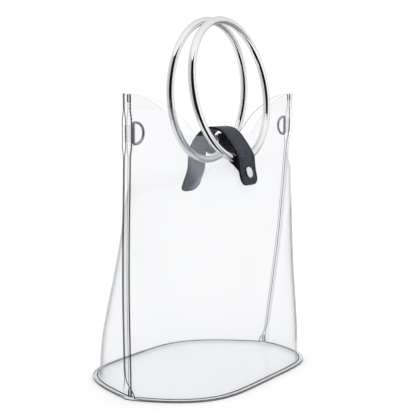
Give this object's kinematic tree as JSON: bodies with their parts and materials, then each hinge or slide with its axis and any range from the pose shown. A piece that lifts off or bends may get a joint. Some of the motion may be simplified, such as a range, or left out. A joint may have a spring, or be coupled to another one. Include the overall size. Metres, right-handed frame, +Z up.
{
  "type": "clear tote bag",
  "caption": "Clear tote bag that stands on an oval base, with ring handles, a leather closure strap with a snap, and D-rings in its side seams.",
  "frame": {"origin": "on the floor under the middle of the base", "axes": "+Z up, +X along the bag's width toward its right seam, front panel toward -Y"},
  "size_m": [0.2846, 0.1562, 0.3261],
  "materials": {
    "clear_sheet": "clear, glossy, soft vinyl",
    "chrome_ring": "polished",
    "black_leather": "pebbled, satin",
    "small_metal": "polished nickel"
  },
  "bodies": {
    "bag": {"front_panel": "clear_sheet", "back_panel": "clear_sheet", "base_panel": "clear_sheet", "strap": "black_leather", "front_tab": "black_leather", "back_patch": "black_leather", "snap_cap": "small_metal", "d_ring_left": "small_metal", "d_ring_right": "small_metal", "d_tab_left": "clear_sheet", "d_tab_right": "clear_sheet"},
    "front_handle": {"ring_front": "chrome_ring"},
    "back_handle": {"ring_back": "chrome_ring"}
  },
  "joints": [
    {"name": "front_handle_swing", "type": "hinge", "parent": "bag", "child": "front_handle", "pos_m": [0, -0.04577, 0.1999], "axis": [1, 0, 0], "range_deg": [0, 160]},
    {"name": "back_handle_swing", "type": "hinge", "parent": "bag", "child": "back_handle", "pos_m": [0, -0.01161, 0.1983], "axis": [-1, 0, 0], "range_deg": [0, 138]}
  ]
}
